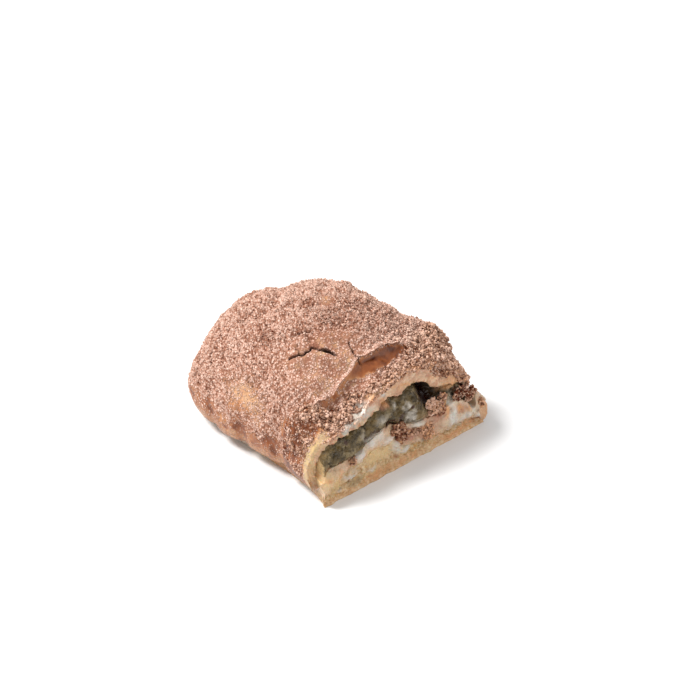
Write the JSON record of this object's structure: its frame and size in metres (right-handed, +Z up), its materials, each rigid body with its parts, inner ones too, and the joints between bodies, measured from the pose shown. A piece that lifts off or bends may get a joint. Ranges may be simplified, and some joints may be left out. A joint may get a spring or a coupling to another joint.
{
  "type": "pistachio baklava slice",
  "caption": "Square slice of cold milk-soaked pistachio baklava with a puffed cocoa-dusted crust over nut filling, milk cream and a soaked pastry base.",
  "frame": {"origin": "middle of the flat underside of the pastry base", "axes": "+Z up, the cut face that shows the layers looks towards -Y, the crust folds down on the -X side and ends above the +X side"},
  "size_m": [0.0546, 0.0533, 0.0339],
  "materials": {
    "cocoa_crust": "dry powdery cocoa over brown baked pastry",
    "pistachio_paste": "moist coarse ground pistachio",
    "milk_cream": "wet milky cream",
    "soaked_pastry": "pale pastry leaves soaked in milk, golden below"
  },
  "bodies": {
    "root": {"top_crust": "cocoa_crust", "pistachio_filling": "pistachio_paste", "milk_cream": "milk_cream", "pastry_base": "soaked_pastry"}
  },
  "joints": []
}
